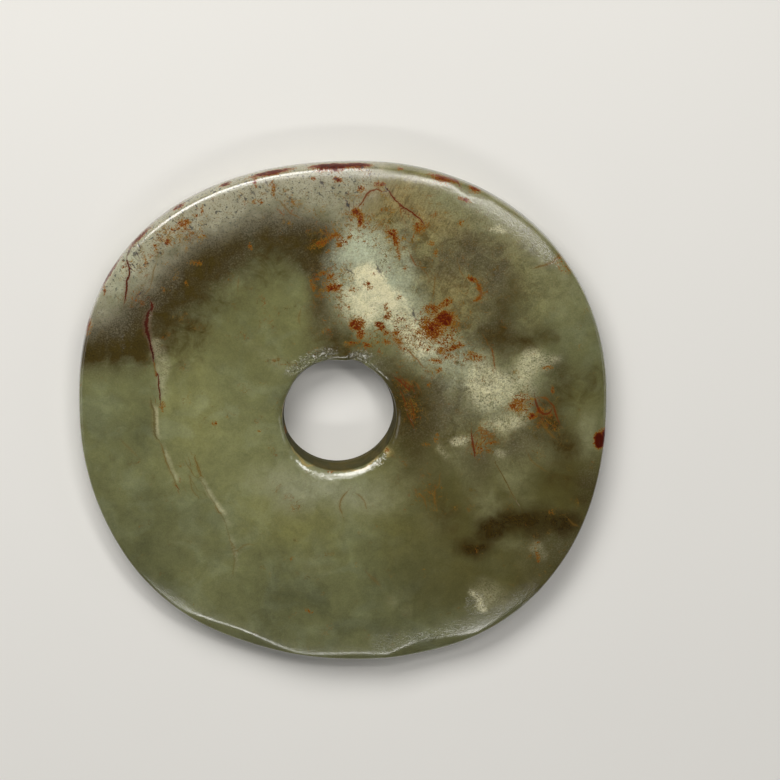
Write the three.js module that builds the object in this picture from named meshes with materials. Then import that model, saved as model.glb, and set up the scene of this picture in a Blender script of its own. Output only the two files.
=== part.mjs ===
// Jade bi disc: a ring of nephrite with a rounded-square outline, a front face that falls gently
// to its edge, an edge wall with ground facets, and a hole drilled from both faces.
// It lies on its flat back face. Millimetres, +Z up. The origin is on the back face's plane, below
// the middle of the outline, and +Y points to the side with the worn dip in its front edge.

import * as THREE from 'three';

// Outline: its reach in four directions from the point where its four quarters meet, and how
// square each quarter is. A quarter with squareness 2 is a quarter of an ellipse.
const REACH_RIGHT = 62.0;
const REACH_LEFT = 68.0;
const REACH_TOP = 59.8;
const REACH_BOTTOM = 66.2;
const SQUARENESS_TOP_RIGHT = 2.09;
const SQUARENESS_TOP_LEFT = 2.3;
const SQUARENESS_BOTTOM_LEFT = 2.3;
const SQUARENESS_BOTTOM_RIGHT = 2.3;

// Thickness: full round the hole, less at the edge, and least at the left and right edges.
const THICKNESS = 10.0;
const FALL_AT_TOP_AND_BOTTOM = 1.7;
const FALL_AT_SIDES = 3.2;
const FALL_WIDTH = 24.0;

// Edge wall: it bulges out from the front edge to the widest line and comes in again below.
const BULGE_AT_TOP_AND_BOTTOM = 1.1;
const BULGE_AT_SIDES = 0.6;
const WIDEST_LINE_SHARE = 0.45;
const EDGE_SOFTENING = 0.7;
const BACK_CHAMFER_WIDTH = 1.5;
const BACK_CHAMFER_HEIGHT = 1.1;

// Facets ground on the front edge: the direction of the middle and half the span, in degrees
// anticlockwise from +X, and the greatest width. Their slope is depth over width.
const FACET_SLOPE = 0.5;
const FACETS = [
  { name: 'worn dip', middle: 62, halfSpan: 8, width: 1.7 },
  { name: 'lower left', middle: 243, halfSpan: 17, width: 2.2 },
  { name: 'bottom', middle: 270, halfSpan: 14, width: 1.2 },
  { name: 'lower right', middle: 286, halfSpan: 13, width: 3.2 },
  { name: 'right of it', middle: 306, halfSpan: 13, width: 0.9 },
];

// Hole: a bore from each face, a little wider at its mouth. The two meet at a ledge, because the
// back one was drilled a little off the front one. Both mouths are rounded over.
const HOLE_X = -1.2;
const HOLE_Y = 0.4;
const FRONT_BORE_DIAMETER = 26.8;
const BACK_BORE_DIAMETER = 27.2;
const BORE_FLARE = 0.25;
const BACK_BORE_SHIFT_X = -0.15;
const BACK_BORE_SHIFT_Y = 0.55;
const BORES_MEET_SHARE = 0.45;
const LEDGE_HEIGHT = 0.5;
const FRONT_LIP_WIDTH = 2.2;
const FRONT_LIP_DEPTH = 1.5;
const BACK_LIP_WIDTH = 1.2;
const BACK_LIP_DEPTH = 0.9;

// Fineness of the faceted surface.
const STEPS_ROUND = 144;
const FALL_ROWS = 5;
const FACE_ROWS = 3;
const LIP_ROWS = 4;

const jade = new THREE.MeshStandardMaterial({ color: 0x8a9068, roughness: 0.35, metalness: 0 });

/** The outline's distance from the point where its quarters meet, in the direction of angle. */
function outlineRadius(angle) {
  const right = Math.cos(angle) >= 0;
  const top = Math.sin(angle) >= 0;
  const across = Math.abs(Math.cos(angle)) / (right ? REACH_RIGHT : REACH_LEFT);
  const along = Math.abs(Math.sin(angle)) / (top ? REACH_TOP : REACH_BOTTOM);
  const squareTop = right ? SQUARENESS_TOP_RIGHT : SQUARENESS_TOP_LEFT;
  const squareBottom = right ? SQUARENESS_BOTTOM_RIGHT : SQUARENESS_BOTTOM_LEFT;
  const power = top ? squareTop : squareBottom;
  return (across ** power + along ** power) ** (-1 / power);
}

/** A point of the outline. The outline's middle is over the origin. */
function outlinePoint(angle) {
  const middle = new THREE.Vector2((REACH_LEFT - REACH_RIGHT) / 2, (REACH_BOTTOM - REACH_TOP) / 2);
  const reach = outlineRadius(angle);
  return middle.add(new THREE.Vector2(Math.cos(angle), Math.sin(angle)).multiplyScalar(reach));
}

/** A value that is one size at the left and right edges and another at the top and bottom ones. */
function roundTheEdge(atSides, atTopAndBottom, angle) {
  return THREE.MathUtils.lerp(atSides, atTopAndBottom, Math.sin(angle) ** 2);
}

/** The width of the ground facet at an angle, which fades out at the ends of each facet's span. */
function facetWidth(angle) {
  const degrees = THREE.MathUtils.radToDeg(angle);
  let width = 0;
  for (const facet of FACETS) {
    const away = Math.abs(THREE.MathUtils.euclideanModulo(degrees - facet.middle + 180, 360) - 180);
    if (away < facet.halfSpan) {
      width = Math.max(width, facet.width * Math.cos((Math.PI / 2) * (away / facet.halfSpan)) ** 2);
    }
  }
  return width;
}

/** A point of a bore's round wall, whose centre is the hole's, moved by a share of the shift. */
function borePoint(angle, radius, shift) {
  return new THREE.Vector2(
    HOLE_X + BACK_BORE_SHIFT_X * shift + radius * Math.cos(angle),
    HOLE_Y + BACK_BORE_SHIFT_Y * shift + radius * Math.sin(angle),
  );
}

/** The quarter of an ellipse that rounds a mouth over, as [share of width, share of depth]. */
function lipCurve() {
  const curve = [];
  for (let row = 0; row <= LIP_ROWS; row += 1) {
    const turn = (Math.PI / 2) * (row / LIP_ROWS);
    curve.push([1 - Math.sin(turn), 1 - Math.cos(turn)]);
  }
  return curve;
}

/** Points of the edge, from the widest line up over the front edge and in along the falling face. */
function frontEdgeRows(angle, outer, inward, faceWidth) {
  const bulge = roundTheEdge(BULGE_AT_SIDES, BULGE_AT_TOP_AND_BOTTOM, angle);
  const fall = roundTheEdge(FALL_AT_SIDES, FALL_AT_TOP_AND_BOTTOM, angle);
  const fallWidth = Math.min(FALL_WIDTH, faceWidth / 2);
  const facet = facetWidth(angle) + EDGE_SOFTENING;
  const edgeHeight = THICKNESS - fall;
  const widest = WIDEST_LINE_SHARE * edgeHeight;
  const fallAt = (inset) => fall * Math.max(0, 1 - inset / fallWidth) ** 2;
  const facetTop = THICKNESS - fallAt(bulge + facet);
  const wallTop = facetTop - facet * FACET_SLOPE;
  const rows = [
    [0, widest],
    [bulge * 0.3, THREE.MathUtils.lerp(widest, wallTop, 0.6)],
    [bulge, wallTop],
    [bulge + facet, facetTop],
  ];
  for (let row = 1; row <= FALL_ROWS; row += 1) {
    const inset = THREE.MathUtils.lerp(bulge + facet, fallWidth, row / FALL_ROWS);
    rows.push([inset, THICKNESS - fallAt(inset)]);
  }
  return rows.map(([inset, height]) => {
    const place = outer.clone().addScaledVector(inward, inset);
    return new THREE.Vector3(place.x, place.y, height);
  });
}

/** Points of the hole, from the front mouth's outer edge down to the back mouth's. */
function holeRows(angle) {
  const rows = [];
  const add = (radius, shift, height) => {
    const place = borePoint(angle, radius, shift);
    rows.push(new THREE.Vector3(place.x, place.y, height));
  };
  const front = FRONT_BORE_DIAMETER / 2;
  const back = BACK_BORE_DIAMETER / 2;
  const meet = BORES_MEET_SHARE * THICKNESS;
  for (const [across, down] of lipCurve()) {
    add(front + BORE_FLARE + across * FRONT_LIP_WIDTH, 0, THICKNESS - down * FRONT_LIP_DEPTH);
  }
  add(front, 0, meet + LEDGE_HEIGHT / 2);
  add(back, 1, meet - LEDGE_HEIGHT / 2);
  for (const [across, down] of lipCurve().reverse()) {
    add(back + BORE_FLARE + across * BACK_LIP_WIDTH, 1, down * BACK_LIP_DEPTH);
  }
  return rows;
}

/** Points of the edge's lower part, from the flat back face out and up to below the widest line. */
function backEdgeRows(angle, outer, inward) {
  const bulge = roundTheEdge(BULGE_AT_SIDES, BULGE_AT_TOP_AND_BOTTOM, angle);
  const rows = [
    [bulge + BACK_CHAMFER_WIDTH, 0],
    [bulge + BACK_CHAMFER_WIDTH * 0.35, BACK_CHAMFER_HEIGHT * 0.35],
    [bulge * 0.6, BACK_CHAMFER_HEIGHT],
  ];
  return rows.map(([inset, height]) => {
    const place = outer.clone().addScaledVector(inward, inset);
    return new THREE.Vector3(place.x, place.y, height);
  });
}

/** The closed loop of points where a half plane at angle cuts the disc. */
function sectionAt(angle) {
  const outer = outlinePoint(angle);
  const inner = borePoint(angle, FRONT_BORE_DIAMETER / 2 + BORE_FLARE + FRONT_LIP_WIDTH, 0);
  const inward = inner.clone().sub(outer).normalize();
  const edge = frontEdgeRows(angle, outer, inward, inner.distanceTo(outer));
  const hole = holeRows(angle);
  const face = [];
  for (let row = 1; row < FACE_ROWS; row += 1) {
    face.push(edge.at(-1).clone().lerp(hole[0], row / FACE_ROWS));
  }
  return [...edge, ...face, ...hole, ...backEdgeRows(angle, outer, inward)];
}

/** The disc's closed surface, skinned over its sections. */
function discGeometry() {
  const sections = [];
  for (let step = 0; step < STEPS_ROUND; step += 1) {
    sections.push(sectionAt((2 * Math.PI * step) / STEPS_ROUND));
  }
  const rows = sections[0].length;
  const corner = (step, row) => (step % STEPS_ROUND) * rows + (row % rows);
  const faces = [];
  for (let step = 0; step < STEPS_ROUND; step += 1) {
    for (let row = 0; row < rows; row += 1) {
      const near = corner(step, row);
      const nearNext = corner(step, row + 1);
      const far = corner(step + 1, row);
      const farNext = corner(step + 1, row + 1);
      faces.push(near, far, farNext, near, farNext, nearNext);
    }
  }
  const geometry = new THREE.BufferGeometry().setFromPoints(sections.flat());
  geometry.setIndex(faces);
  geometry.computeVertexNormals();
  return geometry;
}

const disc = new THREE.Mesh(discGeometry(), jade);
disc.name = 'bi_disc';

const model = new THREE.Group();
model.name = 'jade_bi_disc';
model.add(disc);

export default model;
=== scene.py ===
# The looks of the jade bi disc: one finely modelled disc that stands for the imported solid, its nephrite
# with clouds, stains, veins and cracks, a plain pale floor, soft studio light and the camera.
# Blender works in metres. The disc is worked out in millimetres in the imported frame: +Z points up out of
# the front face, and +Y to the side of the outline that is uppermost in the picture.

import itertools
import math
from dataclasses import dataclass

import bpy
import numpy as np
from mathutils import Matrix, Vector


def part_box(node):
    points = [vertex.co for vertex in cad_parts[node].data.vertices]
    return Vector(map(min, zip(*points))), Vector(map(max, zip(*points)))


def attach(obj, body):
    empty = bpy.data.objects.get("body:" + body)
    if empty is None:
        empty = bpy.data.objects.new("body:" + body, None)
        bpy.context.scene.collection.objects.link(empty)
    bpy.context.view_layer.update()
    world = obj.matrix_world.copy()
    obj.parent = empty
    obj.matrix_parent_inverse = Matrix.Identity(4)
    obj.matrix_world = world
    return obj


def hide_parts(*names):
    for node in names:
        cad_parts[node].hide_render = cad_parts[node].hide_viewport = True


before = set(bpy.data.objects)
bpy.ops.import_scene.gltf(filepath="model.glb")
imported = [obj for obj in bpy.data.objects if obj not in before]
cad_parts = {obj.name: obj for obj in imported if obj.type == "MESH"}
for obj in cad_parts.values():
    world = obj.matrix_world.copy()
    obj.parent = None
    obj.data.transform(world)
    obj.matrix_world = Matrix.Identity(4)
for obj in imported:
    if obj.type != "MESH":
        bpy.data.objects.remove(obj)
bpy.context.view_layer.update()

MM = 0.001


# The solid's own sizes, as the frame and the CAD give them.

box_low, box_high = (np.array(corner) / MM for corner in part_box("bi_disc"))
WIDTH, DEPTH, THICKNESS = box_high - box_low

# Outline: four quarters that meet in one point, with squareness 2 for an ellipse.
REACH_LEFT = 68.0
REACH_RIGHT = WIDTH - REACH_LEFT
REACH_BOTTOM = 66.2
REACH_TOP = DEPTH - REACH_BOTTOM
QUARTERS_MEET = np.array([(REACH_LEFT - REACH_RIGHT) / 2, (REACH_BOTTOM - REACH_TOP) / 2])
SQUARENESS = 2.3
SQUARENESS_TOP_RIGHT = 2.09

# Front face and edge wall.
FALL_AT_TOP_AND_BOTTOM = 1.7
FALL_AT_SIDES = 3.2
FALL_WIDTH = 24.0
BULGE_AT_TOP_AND_BOTTOM = 1.1
BULGE_AT_SIDES = 0.6
BULGE_POWER = 2.3
WIDEST_LINE_SHARE = 0.45
EDGE_SOFTENING = 0.7
BACK_CHAMFER_WIDTH = 1.5
BACK_CHAMFER_HEIGHT = 1.1
BACK_BULGE_SHARE = 0.6

# Facets ground on the front edge, the worn dip and four along the bottom: middle and half span in
# degrees anticlockwise from +X, and width.
FACET_SLOPE = 0.5
FACETS = [(62, 8, 1.7), (243, 17, 2.2), (270, 14, 1.2), (286, 13, 3.2), (306, 13, 0.9)]

# Hole: a bore from each face, the back one a little off the front one.
HOLE_X = -1.2
HOLE_Y = 0.4
FRONT_BORE_RADIUS = 13.4
BACK_BORE_RADIUS = 13.6
BORE_FLARE = 0.25
BACK_BORE_SHIFT = (-0.15, 0.55)
BORES_MEET_SHARE = 0.45
LEDGE_HEIGHT = 0.5
FRONT_LIP_WIDTH = 2.2
FRONT_LIP_DEPTH = 1.5
FRONT_LIP_WEAR = 0.1  # how much larger the front lip is at the bottom, as a share
FRONT_LIP_BEVEL = 0.55  # how near the worn lip comes to a straight bevel at the bottom
FRONT_LIP_WIDER_AT = (242, 22)  # direction and half span in degrees
FRONT_LIP_WIDENING = 0.22
BACK_LIP_WIDTH = 1.2
BACK_LIP_DEPTH = 0.9

# Fineness of the mesh: sections round the disc, and the rows of points on each stretch of a section.
STEPS_ROUND = 624
ROWS = {
    "wall": 10,
    "edge": 7,
    "shoulder": 12,
    "fall": 34,
    "face": 36,
    "front lip": 12,
    "front bore": 8,
    "ledge": 3,
    "back bore": 5,
    "back lip": 5,
    "back": 15,
    "chamfer": 5,
    "under": 4,
}
SHOULDER_WIDTH = 3.0
CROWDING = 1.5  # how strongly the rows of the wall and of the face crowd at their inner ends
ROUNDING_PASSES = 3

# What the solid doesn't have. Directions and half spans are in degrees.
EDGE_ROUNDING_PASSES = 90
EDGE_ROUNDING_ROWS = 7
EDGE_ROUNDED_FULLY_AT = (105, 45)  # direction and half span
EDGE_ROUNDING_ELSEWHERE = 0.3
STEEPER_WALL = 0.8  # how much less the wall leans in than the solid's does
RIM_WEAR = [(66, 36, 0.7), (306, 20, 0.4), (236, 14, 0.3)]  # direction, half span and depth
RIM_WEAR_WIDTH = 7.0
CORNER_WEAR_AT = (228, 30)  # direction and half span of the corner where the outline is worn back
CORNER_WEAR_DEPTH = 1.1


# Shape.


def ease(value):
    """0 below 0, 1 above 1, and a smooth rise between."""
    value = np.clip(value, 0, 1)
    return value * value * (3 - 2 * value)


def outline_radius(angle):
    """The outline's distance from the point where its quarters meet, in the direction of angle."""
    right = np.cos(angle) >= 0
    top = np.sin(angle) >= 0
    across = np.abs(np.cos(angle)) / np.where(right, REACH_RIGHT, REACH_LEFT)
    along = np.abs(np.sin(angle)) / np.where(top, REACH_TOP, REACH_BOTTOM)
    power = np.where(right & top, SQUARENESS_TOP_RIGHT, SQUARENESS)
    return (across**power + along**power) ** (-1 / power)


def round_the_edge(at_sides, at_top_and_bottom, angle):
    """A value that is one size at the left and right edges and another at the top and bottom ones."""
    return at_sides + (at_top_and_bottom - at_sides) * np.sin(angle) ** 2


def turned_away(angle, direction):
    """How many degrees each angle is away from a direction in degrees."""
    return np.abs((np.degrees(angle) - direction + 180) % 360 - 180)


def in_span(angle, direction, half_span):
    """1 around a direction, a half where its span in degrees ends, and 0 beyond."""
    return ease(1.5 - turned_away(angle, direction) / half_span)


def facet_width(angle):
    """The width of the ground facet at each angle, which fades out at the ends of a facet's span."""
    width = np.zeros_like(angle)
    for middle, half_span, widest in FACETS:
        away = np.minimum(turned_away(angle, middle) / half_span, 1)
        width = np.maximum(width, widest * np.cos(np.pi / 2 * away) ** 2)
    return width


def bore_row(angle, radius, shift, height):
    """A row of points round the hole, its centre moved by a share of the back bore's shift."""
    x = HOLE_X + BACK_BORE_SHIFT[0] * shift + radius * np.cos(angle)
    y = HOLE_Y + BACK_BORE_SHIFT[1] * shift + radius * np.sin(angle)
    return np.column_stack([x, y, np.broadcast_to(height, len(angle))])


def placed(outer, inward, inset, height):
    """A row of points at an inset from the outline and at a height."""
    across = outer + inward * inset[:, None]
    return np.column_stack([across, np.broadcast_to(height, len(across))])


def shares(count):
    """Even shares of a stretch, from its start up to but without its end."""
    return np.arange(count) / count


def shares_crowded_at_end(count):
    return 1 - (1 - shares(count)) ** CROWDING


def shares_crowded_at_both_ends(count):
    return (1 - np.cos(np.pi * shares(count))) / 2


def between(start, end, share):
    """The point or value at a share of the way."""
    return start + (end - start) * share


def rim_wear(angle):
    """How far wear has lowered the rim of the face at each angle."""
    depth = np.zeros_like(angle)
    for direction, half_span, deepest in RIM_WEAR:
        depth = np.maximum(depth, deepest * in_span(angle, direction, half_span))
    return depth


def edge_rows(angle, outer, inward, fall_width):
    """The rows from the widest line up the wall, over the front edge and in along the falling face."""
    bulge = round_the_edge(BULGE_AT_SIDES, BULGE_AT_TOP_AND_BOTTOM, angle) * (1 - STEEPER_WALL)
    fall = round_the_edge(FALL_AT_SIDES, FALL_AT_TOP_AND_BOTTOM, angle)
    facet = facet_width(angle) + EDGE_SOFTENING
    widest = WIDEST_LINE_SHARE * (THICKNESS - fall)

    def face_height(inset):
        worn_off = rim_wear(angle) * np.maximum(0, 1 - inset / RIM_WEAR_WIDTH) ** 2
        return THICKNESS - fall * np.maximum(0, 1 - inset / fall_width) ** 2 - worn_off

    facet_top = face_height(bulge + facet)
    wall_top = facet_top - facet * FACET_SLOPE
    rows = []
    for share in shares_crowded_at_end(ROWS["wall"]):
        rows.append((bulge * share**BULGE_POWER, between(widest, wall_top, share)))
    for share in shares(ROWS["edge"]):
        rows.append((bulge + facet * share, between(wall_top, facet_top, share)))
    shoulder = bulge + facet + SHOULDER_WIDTH
    for share in shares(ROWS["shoulder"]):
        inset = between(bulge + facet, shoulder, share)
        rows.append((inset, face_height(inset)))
    for share in shares(ROWS["fall"]):
        inset = between(shoulder, fall_width, share)
        rows.append((inset, face_height(inset)))
    return [placed(outer, inward, inset, height) for inset, height in rows]


def hole_rows(angle):
    """The rows from the front mouth's outer edge down the two bores to the back mouth's outer edge."""
    meet = BORES_MEET_SHARE * THICKNESS
    front = FRONT_BORE_RADIUS
    back = BACK_BORE_RADIUS
    at_bottom = 0.5 - 0.5 * np.sin(angle)
    wear = 1 + FRONT_LIP_WEAR * at_bottom
    bevel = FRONT_LIP_BEVEL * at_bottom
    wider = 1 + FRONT_LIP_WIDENING * in_span(angle, *FRONT_LIP_WIDER_AT)
    rows = []
    for share in shares(ROWS["front lip"]):
        across = between(1 - math.sin(math.pi / 2 * share), 1 - share, bevel)
        down = between(1 - math.cos(math.pi / 2 * share), share, bevel)
        radius = front + BORE_FLARE + across * FRONT_LIP_WIDTH * wear * wider
        rows.append(bore_row(angle, radius, 0, THICKNESS - down * FRONT_LIP_DEPTH * wear))
    for share in shares(ROWS["front bore"]):
        height = between(THICKNESS - FRONT_LIP_DEPTH * wear, meet + LEDGE_HEIGHT / 2, share)
        rows.append(bore_row(angle, between(front + BORE_FLARE, front, share), 0, height))
    for share in shares(ROWS["ledge"]):
        height = between(meet + LEDGE_HEIGHT / 2, meet - LEDGE_HEIGHT / 2, share)
        rows.append(bore_row(angle, between(front, back, share), share, height))
    for share in shares(ROWS["back bore"]):
        height = between(meet - LEDGE_HEIGHT / 2, BACK_LIP_DEPTH, share)
        rows.append(bore_row(angle, between(back, back + BORE_FLARE, share), 1, height))
    for share in shares(ROWS["back lip"]):
        across = 1 - math.cos(math.pi / 2 * share)
        down = 1 - math.sin(math.pi / 2 * share)
        radius = back + BORE_FLARE + across * BACK_LIP_WIDTH
        rows.append(bore_row(angle, radius, 1, down * BACK_LIP_DEPTH))
    return rows


def under_rows(angle, outer, inward, mouth):
    """The rows of the flat back, from the back mouth out, and on over its chamfer up the wall."""
    bulge = round_the_edge(BULGE_AT_SIDES, BULGE_AT_TOP_AND_BOTTOM, angle)
    fall = round_the_edge(FALL_AT_SIDES, FALL_AT_TOP_AND_BOTTOM, angle)
    widest = np.column_stack([outer, WIDEST_LINE_SHARE * (THICKNESS - fall)])
    rim_inset = bulge + BACK_CHAMFER_WIDTH
    chamfer_inset = bulge * BACK_BULGE_SHARE
    rim = placed(outer, inward, rim_inset, 0)
    chamfer_top = placed(outer, inward, chamfer_inset, BACK_CHAMFER_HEIGHT)
    rows = [between(mouth, rim, share) for share in shares_crowded_at_both_ends(ROWS["back"])]
    for share in shares(ROWS["chamfer"]):
        inset = between(rim_inset, chamfer_inset, math.sin(math.pi / 2 * share))
        height = BACK_CHAMFER_HEIGHT * (1 - math.cos(math.pi / 2 * share))
        rows.append(placed(outer, inward, inset, height))
    for share in shares(ROWS["under"]):
        rows.append(between(chamfer_top, widest, share))
    return rows


def disc_points():
    """The disc's smooth surface as a grid of points: one section for each step round it."""
    angle = 2 * np.pi * shares(STEPS_ROUND)
    heading = np.column_stack([np.cos(angle), np.sin(angle)])
    worn_off = CORNER_WEAR_DEPTH * in_span(angle, *CORNER_WEAR_AT)
    outer = QUARTERS_MEET + heading * (outline_radius(angle) - worn_off)[:, None]
    hole = hole_rows(angle)
    inward = hole[0][:, :2] - outer
    reach = np.linalg.norm(inward, axis=1)
    inward /= reach[:, None]
    fall_width = np.minimum(FALL_WIDTH, reach / 2)
    edge = edge_rows(angle, outer, inward, fall_width)
    fall_end = placed(outer, inward, fall_width, THICKNESS)
    face = [between(fall_end, hole[0], share) for share in shares_crowded_at_end(ROWS["face"])]
    mouth = bore_row(angle, BACK_BORE_RADIUS + BORE_FLARE + BACK_LIP_WIDTH, 1, 0)
    under = under_rows(angle, outer, inward, mouth)
    points = np.stack(edge + face + hole + under, axis=1)
    return rounded(points, angle)


def rounded(points, angle):
    """The grid of points with its front edge rounded well, except at the facets, and the rest a little."""
    rows = np.arange(points.shape[1])
    edge_middle = ROWS["wall"] + ROWS["edge"] / 2
    softness = ease(2 - np.abs(rows - edge_middle) / EDGE_ROUNDING_ROWS)
    softness = softness * (EDGE_SOFTENING / (EDGE_SOFTENING + facet_width(angle)))[:, None] ** 2
    fully = in_span(angle, *EDGE_ROUNDED_FULLY_AT)
    softness = softness * between(EDGE_ROUNDING_ELSEWHERE, 1, fully)[:, None]
    for share in [softness[:, :, None]] * EDGE_ROUNDING_PASSES + [1.0] * ROUNDING_PASSES:
        beside = (np.roll(points, 1, axis=1) + np.roll(points, -1, axis=1)) / 2
        points = points + share * (beside - points) / 2
    return points


def outward(points):
    """The unit normals of a grid of points."""
    round_it = np.roll(points, -1, axis=0) - np.roll(points, 1, axis=0)
    over_it = np.roll(points, -1, axis=1) - np.roll(points, 1, axis=1)
    normals = np.cross(round_it, over_it)
    return normals / np.linalg.norm(normals, axis=2, keepdims=True)


# Noise and soft shapes on the disc.

NOISE_TABLE = 32
OCTAVE_SHIFT = 7.3
NOISE_GAIN = 1.6
FAR_AWAY = 1e9
ARC_POINTS = 24


def noise(places, size, seed, octaves=1):
    """Smooth noise between about -1 and 1 with bumps of a size in mm, and finer octaves on them."""
    slopes = np.random.default_rng(seed).normal(size=(NOISE_TABLE,) * 3 + (3,))
    slopes /= np.linalg.norm(slopes, axis=3, keepdims=True)
    total = np.zeros(len(places))
    for octave in range(octaves):
        grid = places / (size / 2**octave) + OCTAVE_SHIFT * octave
        corner = np.floor(grid).astype(int)
        within = grid - corner
        fade = within**3 * (within * (within * 6 - 15) + 10)
        for step in itertools.product((0, 1), repeat=3):
            i, j, k = ((corner + step) % NOISE_TABLE).T
            weight = np.prod(np.where(step, fade, 1 - fade), axis=1)
            total += 0.5**octave * weight * np.sum(slopes[i, j, k] * (within - step), axis=1)
    return NOISE_GAIN * total


def stirred(places, size, distance, seed):
    """The places, each moved by up to about a distance, so that shapes drawn on them look natural."""
    moves = [noise(places, size, seed + axis, octaves=2) for axis in range(3)]
    return places + distance * np.column_stack(moves)


def from_line(places, line):
    """For each place, in the plane: how far it is from a line of points, positive on the line's left,
    and which share of the line's length is nearest to it."""
    line = np.array(line, float)
    lengths = np.linalg.norm(np.diff(line, axis=0), axis=1)
    starts = np.concatenate([[0], np.cumsum(lengths)])
    nearest = np.full(len(places), FAR_AWAY)
    side = np.ones(len(places))
    reached = np.zeros(len(places))
    for start, end, length, before in zip(line[:-1], line[1:], lengths, starts):
        along = (end - start) / length
        offset = places[:, :2] - start
        step = np.clip(offset @ along, 0, length)
        distance = np.linalg.norm(offset - step[:, None] * along, axis=1)
        closer = distance < nearest
        nearest = np.where(closer, distance, nearest)
        side = np.where(closer, np.sign(along[0] * offset[:, 1] - along[1] * offset[:, 0]), side)
        reached = np.where(closer, (before + step) / starts[-1], reached)
    return nearest * np.where(side == 0, 1, side), reached


@dataclass
class Patch:
    """A soft ellipse on a face: middle, half widths, amount inside, and turn in degrees."""

    x: float
    y: float
    across: float
    along: float
    amount: float
    turn: float = 0

    def cover(self, places, blur):
        turn = math.radians(self.turn)
        dx = places[:, 0] - self.x
        dy = places[:, 1] - self.y
        across = (dx * math.cos(turn) + dy * math.sin(turn)) / self.across
        along = (dy * math.cos(turn) - dx * math.sin(turn)) / self.along
        return self.amount * fall_off(np.hypot(across, along), blur)


@dataclass
class Band:
    """A soft band along a line of points on the front face: half width, and amount inside."""

    line: list
    reach: float
    amount: float

    def cover(self, places, blur):
        distance, _ = from_line(places, self.line)
        return self.amount * fall_off(np.abs(distance) / self.reach, blur)


@dataclass
class EdgeStain:
    """A stain on the edge wall: direction in degrees, height, half length round the edge, half height."""

    direction: float
    height: float
    along: float
    up: float
    amount: float

    def cover(self, places, blur):
        towards = math.radians(self.direction)
        heading = np.array([math.cos(towards), math.sin(towards)])
        spot = QUARTERS_MEET + heading * outline_radius(np.array([towards]))
        aside = np.linalg.norm(places[:, :2] - spot, axis=1) / self.along
        above = (places[:, 2] - self.height) / self.up
        return self.amount * fall_off(np.hypot(aside, above), blur)


def shapes(*rows):
    """A band for each row that starts with a line of points, and a patch for each other row."""
    return [Band(*row) if isinstance(row[0], list) else Patch(*row) for row in rows]


def around_hole(radius, start, end):
    """Points of an arc round the hole, from one direction in degrees to another."""
    turns = np.radians(np.linspace(start, end, ARC_POINTS))
    return [(HOLE_X + radius * math.cos(turn), HOLE_Y + radius * math.sin(turn)) for turn in turns]


ZONE_BLUR = 2.1
SHARP_ZONE_BLUR = 1.5
SHARP_ZONES = ("cream", "brown_band")
STAIN_BLUR = 1.0


def fall_off(reach, blur):
    """1 in the middle of a shape, a half where reach is 1, and 0 beyond a soft edge as wide as blur."""
    return ease((1 + blur / 2 - reach) / blur)


def blended(name, places):
    """How much of a zone's colour its shapes give at each place, where they add up softly."""
    blur = SHARP_ZONE_BLUR if name in SHARP_ZONES else ZONE_BLUR
    return 1 - np.prod([1 - shape.cover(places, blur) for shape in ZONES[name]], axis=0)


def strongest(stain, places):
    """How much of a stain its shapes give at each place, where the strongest one counts."""
    return np.max([shape.cover(places, STAIN_BLUR) for shape in stain], axis=0)


# What shows in the stone, in mm on the front face.

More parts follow.
